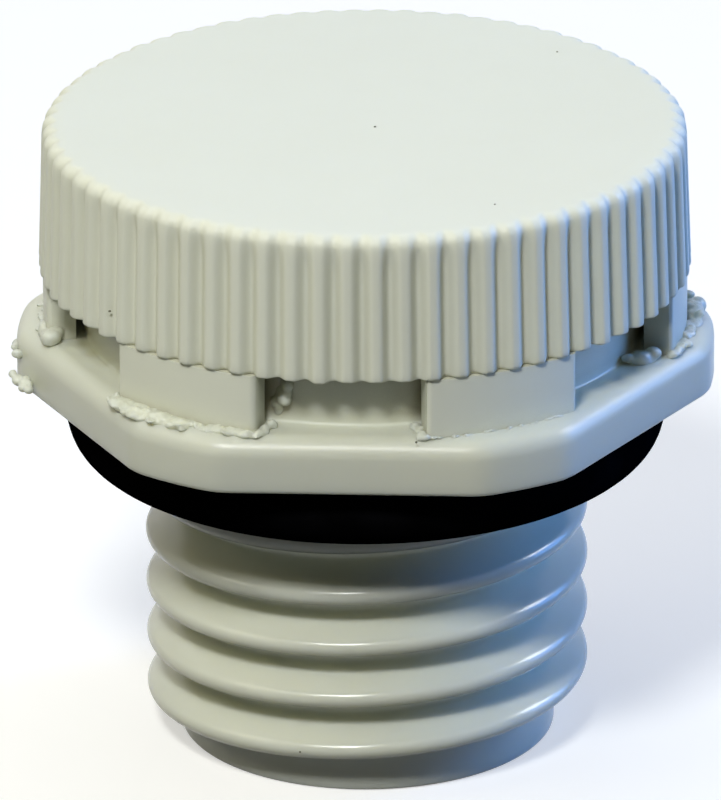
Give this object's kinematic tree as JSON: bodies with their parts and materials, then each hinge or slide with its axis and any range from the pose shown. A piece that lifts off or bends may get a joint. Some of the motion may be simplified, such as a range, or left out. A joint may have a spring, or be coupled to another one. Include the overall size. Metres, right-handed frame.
{
  "type": "breather vent plug",
  "caption": "Threaded plastic breather vent plug: flat knurled cap on short legs over a hexagon flange, rubber ring under it, hollow shank with a coarse round-crested thread.",
  "frame": {"origin": "centre of the shank's end face, on the thread's axis, where the plug stands", "axes": "+Z along the thread's axis towards the cap, +X through a corner of the hexagon flange, -Y out of one of its flats"},
  "size_m": [0.0188, 0.0176, 0.0174],
  "materials": {
    "grey_polyamide_body": "satin moulded",
    "grey_polyamide_cap": "satin moulded",
    "black_rubber": "matt",
    "white_membrane": "matt porous film"
  },
  "bodies": {
    "root": {"vent_body": "grey_polyamide_body", "knurled_cap": "grey_polyamide_cap", "seal_ring": "black_rubber", "vent_membrane": "white_membrane"}
  },
  "joints": []
}
